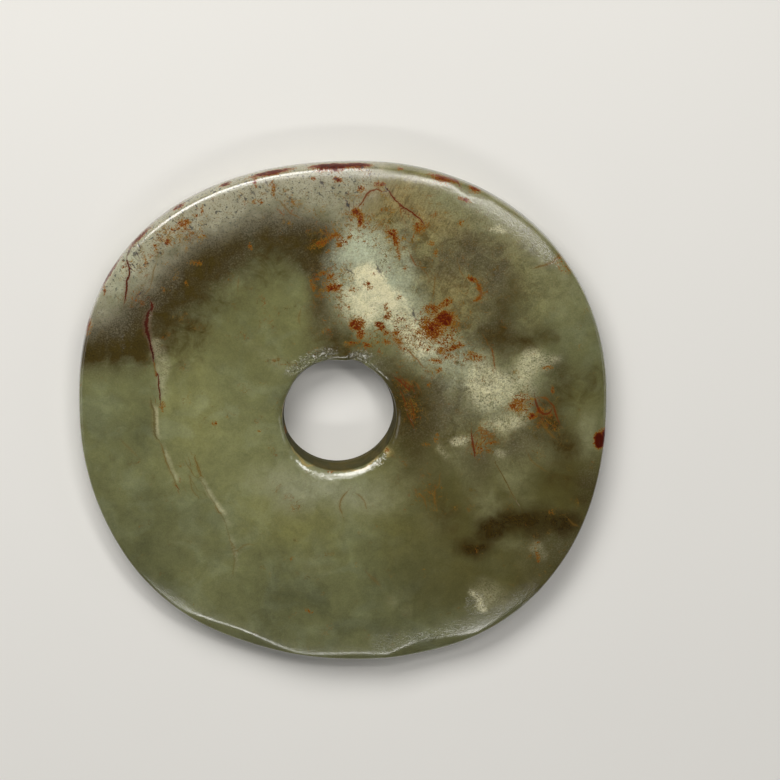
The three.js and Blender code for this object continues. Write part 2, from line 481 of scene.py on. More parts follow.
# Broad zones, most of which go right through the stone; the brighter and duller ones also carry painted light
# and shade, and some veils and milk patches a painted glow. Their edges are soft, and from dusk to pale_edge
# they lie over one another in this order. A row that starts with a line of points is a band, any other a
# patch.
ZONES = {
    # Where the green is brighter: partly lighter stone, partly painted light, with a painted glow below the
    # hole.
    "brighter_and_painted_light": shapes(
        ([(-40, 15), (-38, 0), (-31, -10), (-18, -17), (-4, -19), (5, -21)], 10, 0.85),
        (-42.5, 10, 3, 9, 0.6, 5), (-25, 2, 9, 8, 0.35), (-58, 5, 4, 6, 0.2), (-20, 30, 9, 7, 0.15),
        (56, 24, 6, 12, 0.25), (0, -34, 4, 7, 0.3),
    ),
    # Where it is duller: partly darker stone, partly painted shade, mostly in the lower half and along the
    # left edge.
    "duller_and_painted_shade": shapes(
        (-8, -51, 18, 8, 0.45), (-52, -32, 7, 13, 0.45, 32), (9, -40, 12, 12, 0.55),
        (21, -47, 10, 5, 0.55, 10), (-61, -14, 4, 13, 0.3), (-49, 4, 3.4, 9, 0.7),
        (7, -34.5, 6, 2.5, 0.45, -5), (-14, -43, 6, 4, 0.3),
    ),
    # Olive-brown green, towards the lower right.
    "dusk": shapes(
        (44, -30, 22, 18, 0.8), (25, -20, 14, 15, 0.55), (57, -17, 8, 11, 0.9), (30, -44, 14, 7, 0.4),
        (50, -42, 7, 5, 0.8, 40), (18, -6, 9, 8, 0.9),
    ),
    # Yellower green.
    "warm": shapes(
        (-12, -27, 12, 6, 0.6), (-38, 4, 5, 14, 0.3, 5), (-20, 22, 10, 9, 0.35), (58, 4, 4, 8, 0.5),
        (15, -28, 7, 7, 0.5), (14, -16, 7, 5, 0.4),
    ),
    # Grey-brown stone in the upper right.
    "clay": shapes(
        (30, 37, 18, 17, 0.9, -30), (15, 48, 14, 10, 0.85), (27, 10, 12, 11, 0.8), (40, -4, 12, 7, 0.6),
        (-4, 30, 4, 10, 0.5),
    ),
    # Tan stone with fine fibres.
    "tan": shapes(
        (16, 55, 12, 5, 0.85, -10), (22, 51, 8, 5, 0.6, -20), (8, 50, 4, 6, 0.4, 20), (26, 31, 5, 7, 0.35),
    ),
    # Pale grey-green veils in the stone, and a painted glow below the hole and at the worn dip of the top
    # edge.
    "veil_and_glow": shapes(
        (45, 44, 8, 6, 0.12, -45), (53, 33, 5, 8, 0.3, 15), (34, 52, 8, 4, 0.7, -28),
        (25, 54, 7, 4, 0.8, -20), (58, 19, 4, 8, 0.15),
        ([(29, -10), (32, -15), (34, -21), (36, -26)], 3, 0.4), (42, -16, 3.4, 6, 0.45, 15),
        (51, -9, 4, 4, 0.4), (41, -32, 5, 1.6, 0.3), (46, -36, 5, 4, 0.1), (60, -5, 3, 5, 0.9),
        (-19, 16, 5, 1.2, 0.3, -35), (-15, 12, 5, 2.4, 0.15, -30), (-8, -37, 4, 2, 0.2),
        (11, -47.5, 1.2, 1.6, 0.4), (15, -50, 1.4, 1.2, 0.25), (34, 38.5, 3, 1.8, 0.3, 20),
        (36, 46.4, 2.6, 1.4, 0.5, -15), (-40, -31, 5, 3, 0.15), (22, -27, 4, 3, 0.2),
        (12, -17, 12, 4, 0.4, 30), (-12, -17, 7, 6, 0.5), (-5, -18.5, 13, 4, 0.9, -8),
    ),
    # A grey shadow inside the bleached stone, and other such shadows.
    "smoke": shapes(
        ([(-67, 20), (-57, 21), (-50, 25), (-45, 30), (-39, 37), (-31, 43)], 6.6, 1),
        (-56, 19, 8, 3.4, 0.45), ([(-32, 44), (-25, 47), (-16, 49), (-9, 47), (-5, 41)], 5.6, 1),
        ([(-6, 42), (-5, 33), (-4.5, 26), (-2, 20)], 2.8, 0.5), (31, 42, 6, 4, 0.55, 10),
        (37, 34, 4, 6, 0.6, -10), (38, 21, 7, 4.4, 0.6), (25, 38, 5, 4, 0.35), (24, 3, 6, 6, 0.6, 20),
        (17, -3, 5, 6, 0.4), (44, -6, 5, 3.6, 0.55, 30), (33, -10, 5, 3.6, 0.45), (53, -34, 7, 6, 0.35, 30),
        (52, 11, 3, 4, 0.4), (61, -18, 3, 5, 0.4), (10, 12, 4, 5, 0.5), (4, 14.5, 8, 2, 0.4, -10),
    ),
    # The olive-brown inner fringe of the shadow, and other olive-brown shades.
    "tobacco": shapes(
        ([(-67, 16.5), (-58, 16.5), (-50, 17.5)], 3.6, 0.9),
        ([(-48, 22), (-42, 28), (-38, 34), (-33, 39.5), (-25, 44), (-16, 45), (-9, 43.5)], 3.6, 0.65),
        ([(-44, 19), (-38, 25), (-33, 31), (-27, 36), (-18, 39)], 5.6, 0.45),
        ([(-8, 43), (-6.5, 36), (-6, 29)], 3, 0.5), (-37, 18, 6, 5, 0.35), (-36, 29, 5, 4, 0.3),
        (-4, 20, 5, 4, 0.5, -20), (1, 17.5, 4, 2.5, 0.6), (39.5, 26, 2.6, 7, 0.6, -14),
        ([(35, 19.5), (43, 18.5), (50, 20)], 2.4, 0.65), (15.6, 3, 4.4, 8.5, 0.95, 12),
        (13, 8, 2.5, 3, 0.5, 30), ([(47, 4), (50, -1), (54, -8)], 3.6, 0.75), (54, 6, 3.6, 5, 0.6, 10),
        (61, 7, 3, 5, 0.4), (21, -17, 4, 8, 0.3, 20), (25, -27, 4, 5, 0.35, 20), (53, -16, 6, 3, 0.4, -20),
        (33, -14, 3, 4, 0.25, 20),
    ),
    # Pale, granular, altered stone along the upper left edge.
    "bleached": shapes(
        ([(-65, 31), (-59, 37), (-49, 46), (-40, 52), (-30, 57)], 6.8, 1),
        ([(-30, 56.5), (-20, 59), (-10, 60.5), (2, 61)], 6.4, 0.95), (-49, 38, 4, 4, 0.4, -35),
        (-3, 54, 6, 5, 0.35), (1, 48, 4, 4, 0.35), (45, 46, 7, 4, 0.12, -45),
    ),
    # Bluish white clouds, and a faint painted glow below the hole.
    "milk_and_glow": shapes(
        (3.5, 42.5, 5, 4, 1, 20), (9, 38, 6, 4.4, 0.5, -30), (0.5, 34, 3.6, 7, 0.35),
        (15.5, 33, 4, 6, 0.12, 25), (14, 43, 2.4, 4, 0.3), (7, 31, 5, 7, 0.6),
        ([(12, 30), (17, 23), (22, 17), (28, 13)], 4.4, 0.5), (-53, 38, 3, 7, 0.35, -30),
        (37, 6, 8, 7, 0.2, 10), (-6, -17.5, 12, 4, 0.22, -8),
    ),
    # Opaque cream stone.
    "cream": shapes(
        (4.2, 36.4, 2.6, 2.2, 0.8), (5, 29, 4.2, 6, 0.66), ([(7, 35), (9.7, 31.5), (11.5, 28.5)], 1.8, 1),
        ([(11, 29), (15, 23.5), (18.5, 18)], 2.8, 0.5), (34, 8, 3.4, 5.5, 0.42, 8),
        (41, 7.5, 6, 4.4, 0.24, 15), (46, 13.5, 3.4, 2.6, 0.36, 40), (50.5, 13, 2.6, 1.8, 0.2, 20),
        (40, -1.5, 5, 2.2, 0.26, 15), (28.3, -5.8, 1.6, 1.3, 0.55), (38.7, -9.2, 1.3, 1.3, 0.2),
        (36, -46, 4.2, 2.6, 0.16, -30), ([(31.5, -45.5), (33, -48), (34.5, -49.5)], 0.8, 0.4),
        (47.3, -34, 1.3, 3, 0.12, 12), (24.7, -8.6, 0.7, 1.8, 0.18, 10), (37.4, 46.6, 1.6, 0.8, 0.4, -20),
        ([(-45.4, 20), (-44.6, 14), (-44.3, 8)], 1.1, 0.14),
    ),
    # Dark brown, nearly clear stone.
    "brown_band": shapes(
        ([(36, -29), (40, -26.4), (46, -26.2), (51, -27.4), (55, -28.4)], 3, 0.85),
        (33, -33.4, 3.6, 2.4, 0.8, 8), (29, -33.5, 2.6, 1.8, 0.5), (59, -21, 3, 4, 0.3),
        (47.5, -30, 3, 1.6, 0.5),
    ),
    # The pale edge of the hole.
    "pale_edge": shapes(
        (around_hole(13.95, 150, 330), 0.26, 0.8), (10, -8.2, 1.2, 0.8, 0.9, -40),
    ),
    # Where the polish is softer and finely granular.
    "soft_polish": shapes(
        ([(-8, 61), (8, 61.5), (20, 60.5), (27, 58), (34, 53)], 3.6, 0.4),
        ([(34, 53), (40, 49.5), (48, 42)], 3.6, 0.9), (38, 48, 10, 7, 0.5, -45),
        ([(10, -57), (20, -57), (30, -53), (40, -50), (47, -45)], 3, 0.9),
        ([(-48, -44), (-38, -52), (-27, -57), (-12, -61), (6, -61), (12, -58)], 2.4, 0.8),
        (-2, -19, 14, 5, 0.7), (10, 55, 12, 6, 0.4),
    ),
    # Where fine threads and dabs of rust are spread through the stone.
    "rusty": shapes(
        (14, 21, 14, 5, 0.6, -12), (23, 23, 6, 7, 0.6), (10, 49, 10, 8, 0.6), (-3, 34, 4, 5, 0.85),
        (-2, 45, 6, 3, 0.6, 20), (16, 5, 3.4, 7, 0.5, 15), (29, 14, 8, 4, 0.5, -20),
        (21, -19, 4, 6, 0.45, 10), (33, -6, 3.6, 4, 0.9), (48.5, 0, 4, 6, 0.7, 30), (42, 3, 4, 3, 0.6),
        (-39, 47, 7, 4, 0.75, 35), (-14, 55, 13, 5, 0.35), (-50, 37, 7, 8, 0.42), (32, 31, 3, 5, 0.5),
        (52, -25, 4, 2, 0.3), (2, 18, 9, 2.4, 0.12), (-22, 18, 18, 12, 0.16), (47, -35, 3, 5, 0.4, 10),
    ),
}

# Rust on the front face. The amount sets how dense and how red it is.
RUST = shapes(
    (24.4, 24.6, 2.3, 2, 1.15), (21.8, 22.2, 2.6, 2.8, 0.78), (21.3, 27.2, 1.9, 1.4, 0.7),
    (24.6, 28.6, 1.8, 0.9, 0.7, 30), (18.6, 21.3, 1.4, 0.5, 0.66), (3.2, 23.6, 1.9, 1.5, 0.86),
    (3.9, 21.2, 0.9, 1.5, 0.8), (8.7, 23.1, 1.5, 0.8, 0.92, -35), (10, 21.6, 0.7, 0.9, 0.66),
    (12.8, 21.4, 0.8, 0.5, 0.9), (5.4, 18.6, 1.1, 0.6, 0.76, -30), (1.6, 19, 1.8, 0.3, 0.62),
    (10.2, 19.2, 1.2, 0.6, 0.6, -20), (13.2, 19.3, 1.6, 0.5, 0.6, -35), (26.7, 17.4, 1.4, 0.6, 0.92, 20),
    (28.5, 18.9, 0.4, 1.2, 0.66), (23.8, 16.6, 0.9, 0.3, 0.74, -35), (25.2, 15, 0.5, 0.5, 0.8),
    (22.3, 14.3, 1.6, 0.6, 0.68, -10), (23.1, 11.9, 0.8, 0.6, 0.72, 20), (20.6, 8.2, 0.5, 0.6, 0.7),
    (20.4, 17.5, 0.5, 0.6, 0.76), (31, 15.8, 0.5, 0.4, 0.78), (32.6, 14.9, 1.4, 0.9, 0.6),
    (-2.2, 33, 1.6, 1, 0.88, 15), (-3.9, 32.6, 0.6, 0.8, 0.84), (-3.3, 35.8, 0.6, 0.5, 0.88),
    (-5, 36.5, 1, 0.4, 0.7, -15), (-7.6, 33.4, 0.5, 1.3, 0.6, 25), (10.2, 27.9, 0.4, 0.7, 0.86),
    (10.5, 25.6, 0.7, 1, 0.74), (13.3, 30.4, 0.35, 0.7, 0.74), (5.8, 33.3, 0.9, 0.6, 0.7, -30),
    (2.4, 32.3, 1.2, 0.5, 0.58), (1.1, 27.6, 0.35, 1.1, 0.62), (3, 51.3, 1.1, 1, 1, -40),
    (4, 49.4, 0.7, 1.6, 0.95, 10), (4.2, 57.1, 0.9, 0.7, 0.78), (8.8, 57.9, 1.3, 0.7, 0.74, -10),
    (11.8, 46, 1.3, 1, 0.95, -20), (12.6, 44.2, 0.7, 1.4, 0.88, 18), (13.1, 41.6, 0.4, 1.6, 0.78, 8),
    (14.9, 37.4, 0.5, 0.5, 0.74), (19.2, 37.6, 0.5, 0.35, 0.76), (22.3, 41.2, 0.3, 0.9, 0.72),
    (18.2, 47.6, 1.3, 1.5, 0.66, 30), (21.3, 43.5, 0.7, 0.6, 0.62), (28.5, 48.4, 0.6, 0.7, 0.6),
    (29.3, 54, 1.6, 0.6, 0.8, -15), (31.2, 34.5, 1.3, 0.6, 0.92, -30), (32.9, 32, 0.5, 1.2, 0.74, 10),
    (32.6, 29.7, 0.9, 0.6, 0.84), (-2.4, 45.6, 1.3, 0.6, 0.8, 20), (-5.4, 43.9, 2.4, 0.8, 0.62, 25),
    (1.4, 45.3, 0.8, 0.25, 0.78, -15), (-1.4, 43.5, 0.6, 0.4, 0.76, -20), (-3.8, 41.9, 0.4, 0.4, 0.72),
    (-1.4, 59.3, 1, 0.6, 0.9, -30), (-7.2, 59.6, 0.8, 0.4, 0.72), (-21.3, 58.6, 0.35, 1.2, 0.82),
    (-17.2, 57.2, 0.4, 1.6, 0.7), (-21, 54.1, 1.6, 0.4, 0.6, 5), (-42.7, 44.2, 0.7, 0.6, 0.96),
    (-41.4, 43.5, 0.9, 0.25, 0.74), (-38.6, 48.9, 1.4, 1, 0.7), (-41, 47.2, 1.2, 0.5, 0.62),
    (-35.9, 50.6, 0.6, 0.35, 0.76, -20), (-34.3, 52, 0.35, 1.1, 0.72, -20), (-45.8, 43, 0.4, 1.2, 0.6, 20),
    (-48.2, 39.6, 0.4, 1.6, 0.55, 10), (-44.1, 32.9, 0.4, 0.35, 0.76), (-38.3, 34.3, 0.4, 0.5, 0.68),
    (-38.4, 42.5, 0.4, 0.4, 0.68), (-22.8, 43.2, 0.5, 0.6, 0.64), (-36, 39.3, 1.6, 0.3, 0.58, -5),
    (-58.2, 32.6, 0.35, 1.2, 0.86), (46.2, -0.1, 0.8, 0.8, 0.93), (48, 1.3, 1, 0.8, 0.82, 40),
    (51, 6.4, 0.3, 0.8, 0.68, 10), (49.9, 12, 1.2, 0.4, 0.66, 10), (42.3, 2.6, 2, 1.4, 0.6),
    (51.2, -25, 0.7, 0.5, 0.55), (47.9, -36.2, 0.4, 1.8, 0.55, 15), (10.4, -8.2, 0.4, 0.6, 0.5, -30),
    (-3.4, -13.7, 0.7, 0.25, 0.6), (-14.2, -3, 0.4, 1.2, 0.55), (22.6, -5.5, 0.4, 1.4, 0.42),
    (20, -7, 1, 0.5, 0.4), (-44.6, 3.6, 0.6, 1.2, 0.58), (-20.8, -2.8, 0.35, 0.3, 0.68, -30),
    (-31.8, -0.8, 0.35, 0.45, 0.62), (-9, -49.2, 1.2, 0.4, 0.4, -25), (-12.8, -35.6, 0.7, 0.3, 0.58, 20),
    (63.2, -7.2, 1.4, 2, 1.8),
)

# Rust and earth on the edge wall.
EDGE_RUST = [EdgeStain(*row) for row in [
    (95.5, 6.9, 5, 1.1, 1.5), (90, 6.7, 3.6, 1.1, 1.3), (109.5, 6.7, 5, 1, 1.3), (120, 6.2, 1.3, 1, 1.06),
    (131, 5.9, 1.6, 1.1, 1), (141.5, 5.6, 4, 1.1, 1.1), (151, 5.2, 4.6, 1.1, 1.1),
    (163, 5.4, 2.2, 1.7, 0.94), (79.5, 7.8, 0.7, 1.7, 1.06), (69, 7.2, 3.6, 0.8, 0.94),
    (61.5, 7, 1.6, 0.9, 1), (351.5, 4.5, 2, 3.2, 1.9), (34.5, 6.6, 3.2, 1.8, 0.22), (300, 5, 3, 1.1, 0.9),
    (292, 4.8, 1.6, 1, 0.88), (322, 4, 2.6, 1.5, 0.81), (226, 4.5, 2, 1.1, 0.75), (200, 3, 2.4, 1.5, 0.75),
    (268, 3.4, 3, 1.1, 0.88),
]]

# Rust on the back face, which is plainer.
BACK_RUST = shapes(
    (18, 30, 3, 2, 0.7, 20), (30, 12, 2.2, 3, 0.6), (-35, 44, 4, 2, 0.66, 30), (8, 48, 1.6, 3.5, 0.72, -15),
    (44, -20, 3, 1.6, 0.6, 20),
)


@dataclass
class Vein:
    """A thin coloured line on the front face: points, half width, ink from 0 to 1, tone from 0 for earth
    over orange and rust to 1 for dark red and on to 1.6 for slate, and how deep it is cut into the
    surface, as a share of the deepest."""

    line: list
    width: float
    ink: float = 0.8
    tone: float = 0.5
    cut: float = 0.3


VEINS = [Vein(*row) for row in [
    ([(-51.7, 44.2), (-51.8, 42.4), (-52.5, 40.6)], 0.22, 0.65, 1),
    ([(-52.6, 39.8), (-52.1, 38), (-52, 36.2), (-52.7, 34.5), (-52.8, 32), (-53.2, 29.6)], 0.26, 0.95, 0.85),
    ([(-45.6, 39), (-46.2, 37.2), (-46.6, 35), (-47, 33.6)], 0.1, 0.6, 0.15),
    ([(-46.9, 33.2), (-48.2, 31.6)], 0.12, 0.5, 0.3),
    ([(-46.9, 29.8), (-46.6, 28.6), (-46.7, 27.3)], 0.26, 0.9, 0.85),
    ([(-44.8, -5.8), (-44.3, -8.4), (-43.6, -10.8), (-42.8, -13), (-42, -15)], 0.14, 0.6, 0.25),
    ([(-42, -15), (-41.5, -16), (-40.9, -17.3)], 0.22, 0.85, 0.55),
    ([(-36.8, -9.2), (-36, -11.4), (-35.1, -14.1)], 0.18, 0.65, 0.18),
    ([(-38.6, -11.2), (-37.4, -13.2), (-36.2, -14.8)], 0.13, 0.5, 0.25),
    ([(-38.2, -12.8), (-38, -15), (-37.6, -17.2), (-36.8, -18.8), (-35.8, -19.6)], 0.13, 0.4, 0.15),
    ([(-31.8, -21.8), (-31, -23.2), (-30, -24.3)], 0.24, 0.7, 0.2),
    ([(-28.4, -30.6), (-27.2, -32.4), (-26.9, -34.4)], 0.14, 0.35, 0.25),
    ([(-26.5, -33), (-24.8, -31.8), (-23, -31.6)], 0.16, 0.3, 0.2),
    ([(9.4, 56.3), (8, 56.9), (6.5, 56.5), (5.3, 55.4), (4.6, 53.9), (3.4, 52.6)], 0.22, 0.85, 0.55),
    ([(10.5, 57.1), (11.5, 55.4), (12.8, 53.8), (14.5, 52.4), (16.5, 51.2), (18.2, 49.7), (19.4, 48.3)], 0.2,
     0.95, 0.7, 0.1),
    ([(13, 53.6), (13.7, 51.8), (13.9, 50)], 0.14, 0.55, 0.45), ([(14.3, 50.4), (15, 48.4)], 0.1, 0.35, 0.5),
    ([(-15.3, 54.2), (-14.2, 52.6), (-12.8, 51.2), (-11, 50.3)], 0.16, 0.6, 0.35),
    ([(-16, 58.4), (-17, 56.6), (-16.6, 55.2)], 0.13, 0.5, 0.3),
    ([(16, 41), (16.8, 39.2), (17.6, 38)], 0.18, 0.6, 0.5),
    ([(18.2, 37.9), (20, 36.4), (20.8, 34.6)], 0.1, 0.35, 0.4),
    ([(22.2, 35), (22, 33), (21.6, 30.6)], 0.14, 0.6, 0.3),
    ([(27.8, 38.2), (28.3, 36.6), (29, 35.2)], 0.12, 0.5, 0.35),
    ([(32.4, 33.8), (33.2, 32), (33.3, 30.4), (32.5, 29.4), (31.6, 29)], 0.3, 0.55, 0.5),
    ([(36, 17.4), (36.5, 15), (36.8, 12.2)], 0.15, 0.65, 0.5), ([(34.4, 20), (35.2, 17.8)], 0.12, 0.4, 0.4),
    ([(13.2, 19.4), (15.6, 17), (18, 14.4), (19.2, 12.8)], 0.14, 0.6, 0.45),
    ([(11.6, 20), (13.6, 17.6)], 0.1, 0.4, 0.35), ([(12.4, 10.3), (14.4, 8.4), (16, 6.8)], 0.2, 0.75, 0.58),
    ([(14, 9.8), (16.4, 7.8), (17.2, 6.2)], 0.14, 0.65, 0.56),
    ([(13.6, 6.8), (14.6, 4.6), (15.2, 2.6)], 0.14, 0.65, 0.56),
    ([(16, 4.6), (16.8, 2), (17.2, -0.4)], 0.14, 0.65, 0.55),
    ([(15.2, 1.4), (16.2, -0.8), (17, -2.4)], 0.14, 0.6, 0.55), ([(17.6, 8.6), (18.4, 7.2)], 0.2, 0.5, 0.45),
    ([(37.4, -12.2), (40.2, -17.5), (43.1, -23)], 0.09, 0.9, 0.05, 0.8),
    ([(53.4, 40.1), (52, 38.9), (50.4, 37.9), (48.6, 37.3), (46.6, 37)], 0.24, 0.8, 0.15, 0.1),
    ([(0.8, -18.4), (-0.4, -19.6), (-1.2, -21.3), (-1.2, -22.8), (-0.6, -24.3)], 0.17, 0.6, 0.3),
    ([(2.9, -19.2), (4.1, -20), (5, -21.4), (5.3, -23)], 0.17, 0.45, 0.25),
    ([(45.2, -9.6), (46.2, -11.6), (47.8, -12.9), (49.6, -14.2)], 0.15, 0.35, 0.2),
    ([(48.4, -1.4), (49.4, -3.2), (50.8, -4.9), (51.8, -6)], 0.24, 0.6, 0.3),
    ([(46.8, 4.4), (47.2, 2.8), (47.7, 1.4), (48.8, 0.3), (50.2, 0.5), (50.8, 1.2)], 0.3, 0.75, 0.6),
    ([(50.2, 3.4), (51.3, 2.4), (51.9, 0.6), (52.3, -0.8), (52.8, -1.9)], 0.22, 0.75, 0.55),
    ([(48.2, 4.5), (49.4, 4.4), (50.3, 3.6)], 0.3, 0.6, 0.45),
    ([(31.1, -4.3), (31.4, -6.4), (31.8, -8.3), (32.3, -9.9)], 0.32, 0.8, 0.6),
    ([(32, -4), (33, -3.3), (34.6, -3.6), (35.6, -4.8), (35.4, -6.4), (34.4, -7.2)], 0.2, 0.5, 0.45),
    ([(36.2, -4.2), (36.4, -5.6)], 0.18, 0.45, 0.4),
    ([(18.4, -19.4), (19.6, -20.6), (20.1, -22.6)], 0.2, 0.55, 0.35),
    ([(22.2, -18.4), (22, -20.8), (22.4, -22.6)], 0.22, 0.55, 0.35),
    ([(23.3, -15.2), (23.2, -17), (22.4, -18.4)], 0.16, 0.45, 0.3),
    ([(55.4, -26.8), (56.6, -28.3), (57.8, -29)], 0.2, 0.5, 0.3),
    ([(22.5, 60.7), (25, 59.8), (27.4, 58.4), (28.3, 57.1)], 0.26, 0.8, 0.6, 0.8),
    ([(10.4, 25.2), (11.6, 24.6)], 0.16, 0.5, 0.4),
    ([(-10.6, 27.4), (-11.2, 25.4), (-10.8, 23.8)], 0.2, 0.35, 0.2),
    ([(-25.6, 35.4), (-25.8, 33.2)], 0.18, 0.35, 0.2),
    ([(-54.6, -5.2), (-52.6, -7.2), (-50.8, -9)], 0.3, 0.2, 0.2, 0.2),
    ([(5.6, -39.6), (7, -41), (8.4, -42.6)], 0.4, 0.25, 0.25, 0.2),
]]


SLATE_TONE = 1.6
SLATE_SPECKS = [Vein(line, width, ink, SLATE_TONE, cut) for line, width, ink, cut in [
    ([(0.8, 53.6), (1.1, 52.7)], 0.5, 0.9, 0.6), ([(10.2, 57.2), (10.8, 56.4)], 0.22, 0.9, 0.4),
    ([(1.1, 37.3), (1.9, 36.4)], 0.32, 0.7, 0.4), ([(8.1, 38), (8.8, 36.3)], 0.34, 0.6, 0.4),
    ([(16.8, 26.3), (17.2, 25.5)], 0.34, 0.7, 0.4), ([(-49.8, 43.7), (-49.6, 42.8)], 0.26, 0.8, 0.4),
    ([(-50.1, 41.7), (-49.9, 40.9)], 0.22, 0.8, 0.4), ([(-51.4, 38.9), (-50.7, 38.2)], 0.2, 0.8, 0.4),
    ([(-50, 31.2), (-49.3, 31.9)], 0.18, 0.8, 0.4), ([(-5.4, 58.7), (-5, 58.1)], 0.32, 0.7, 0.4),
    ([(-22.1, 56.5), (-21.8, 55.9)], 0.36, 0.6, 0.4), ([(-18.8, 58.8), (-18.5, 58.3)], 0.26, 0.6, 0.4),
]]


@dataclass
class Crack:
    """An old crack whose stone steps down on its right. Line from the top down, with half width, ink and
    tone as a vein has, the height of its step in mm, how far the step takes to level out again, and how
    bright the painted highlight along the raised edge on its left is."""

    line: list
    width: float
    ink: float
    tone: float
    step: float
    run_out: float
    edge_highlight: float


CRACKS = [Crack(*row) for row in [
    ([(-46.9, 28), (-47.7, 26.4), (-48.1, 24.4), (-48, 22.4), (-47.4, 20.2)], 0.42, 0.9, 0.95, 0.16, 3.5,
     0.2),
    ([(-47.6, 20.6), (-47, 18.4), (-46.6, 16.4), (-46.4, 14.6)], 0.26, 1, 1, 0.16, 3.5, 0.4),
    ([(-46.4, 15), (-46.1, 13), (-45.9, 10.6)], 0.15, 0.7, 0.35, 0.12, 3, 0.5),
    ([(-45.5, 12), (-45.3, 9.2), (-45.1, 7.2), (-44.9, 5)], 0.18, 0.95, 0.85, 0.12, 3, 0.35),
    ([(-47.3, 4.8), (-46.7, 2.8), (-46.4, 0.8), (-46.5, -1.6), (-46.3, -3.8), (-45.6, -5.2)], 0.3, 0.6, 0.05,
     0.24, 2.6, 0.8),
    ([(-45.4, -5), (-44.8, -6.4), (-44.1, -8.8), (-43.3, -11.2), (-42.3, -13.8), (-41, -16.8)], 0.14, 0.35,
     0.15, 0.2, 2.6, 0.5),
    ([(-36.4, -14.2), (-35.2, -15.4), (-34.3, -17), (-33.4, -19), (-32.3, -20.9), (-31.2, -22.6), (-30.2,
     -24.4), (-29.3, -26.2), (-28.8, -28.2)], 0.12, 0.25, 0.1, 0.24, 3.4, 0.7),
    ([(-28.9, -28), (-28.5, -30), (-27.9, -32.2), (-27.4, -34.4), (-27.3, -36.6), (-27.7, -39.4)], 0.14, 0.3,
     0.12, 0.05, 2, 0.25),
]]


# The relief and the fields that the material reads.

# Unevenness of the surface: its depth and the size of its bumps, in mm.
HAND_GRINDING = (0.14, 21)
FINE_UNEVENNESS = (0.035, 5.5)
LIP_UNEVENNESS = (0.09, 1.6)
LIP_UNEVENNESS_HALF_REACH = 9
GRINDING_SHARE_BEHIND = 0.4
# Worn slopes outside the hole: direction, half span in degrees, and the radius where they start.
LIP_SCOOPS = [(120, 22, 17.3), (72, 9, 17.0)]
LIP_SCOOP_SLOPE = 0.3
LIP_SCOOP_REACH = 1.7
PIT_DEPTH = 0.22
RUST_PIT_DEPTH = 0.1
LIP_WEAR = shapes(
    (-8, 14.5, 6.5, 2.2, 1, 25), (4, 15.5, 2.6, 1.8, 0.9), (-6.5, -15, 3.5, 1.2, 0.25, -25),
    (8.5, -11.5, 3, 1.6, 0.3, 45), (6.5, 13, 1.6, 1.2, 0.7, -40),
)
EDGE_WEAR = shapes(
    (21, -56.5, 4.5, 1.2, 0.5, 5), (32.5, -48, 2.5, 2.5, 0.6), (-54, 19.5, 0.8, 3, 0.4),
    (46.5, -47.5, 3, 1.2, 0.5, 35),
)
DRILL_GROOVE_PITCH = 0.85
DRILL_GROOVE_DEPTH = 0.045
DRILL_GROOVE_WAVER = 0.6


# Where a field rises from 0 and where it reaches 1: heights, and for the bore radii too, in mm.
RELIEF_RISES = (5.0, 7.0)
FRONT_RISES = (4.5, 7.0)
BACK_RISES = (2.0, 0.5)
BORE_RISES = (9.2, 8.4)
BORE_RISES_INWARD = (FRONT_BORE_RADIUS + 1.6, FRONT_BORE_RADIUS + 0.4)

# Veins and cracks. Lengths are in mm where nothing else is said.
LINE_SIDE_LIMIT = 8.0  # how far from a line its side is told, in half widths of the line
LINE_TIP_WIDTH = 0.35  # as a share of the line's half width
LINE_INK_REACH = 0.8
LINE_CROSSING = 2.2  # how many reaches from a line its ink is gone, so that another line can be nearest
TONE_WITHOUT_LINE = 0.5
CRACK_DROP_WIDTH = 0.8
CRACK_END_STEEPNESS = 8
LEDGE_HIGHLIGHT_MIDDLE = 0.6
LEDGE_HIGHLIGHT_REACH = 0.45
LEDGE_HIGHLIGHT_END_STEEPNESS = 5


def risen(value, limits):
    """0 at the first limit, 1 at the second, and a smooth change between."""
    start, end = limits
    return ease((value - start) / (end - start))


def from_hole(places):
    """Each place's distance from the axis of the hole."""
    return np.hypot(places[:, 0] - HOLE_X, places[:, 1] - HOLE_Y)


def inside_ends(reached, steepness):
    """1 along a line and 0 at its two ends."""
    return ease(np.minimum(reached, 1 - reached) * steepness)


def bore_share(places):
    """1 on the wall of the hole and 0 elsewhere, with a soft change at its two mouths."""
    return risen(from_hole(places), BORE_RISES_INWARD) * risen(places[:, 2], BORE_RISES)


def uneven(places, unevenness, seed, octaves=1):
    """How deep a kind of unevenness lies at each place, from 0 to its own depth."""
    depth, size = unevenness
    return depth * (0.5 + 0.5 * noise(places, size, seed, octaves))


def step_depth(places, crack):
    """How far the stone lies below the polished face on the right of a crack."""
    distance, reached = from_line(places, crack.line)
    down = ease(0.5 - distance / CRACK_DROP_WIDTH) * ease(1 + distance / crack.run_out)
    return crack.step * down * inside_ends(reached, CRACK_END_STEEPNESS)


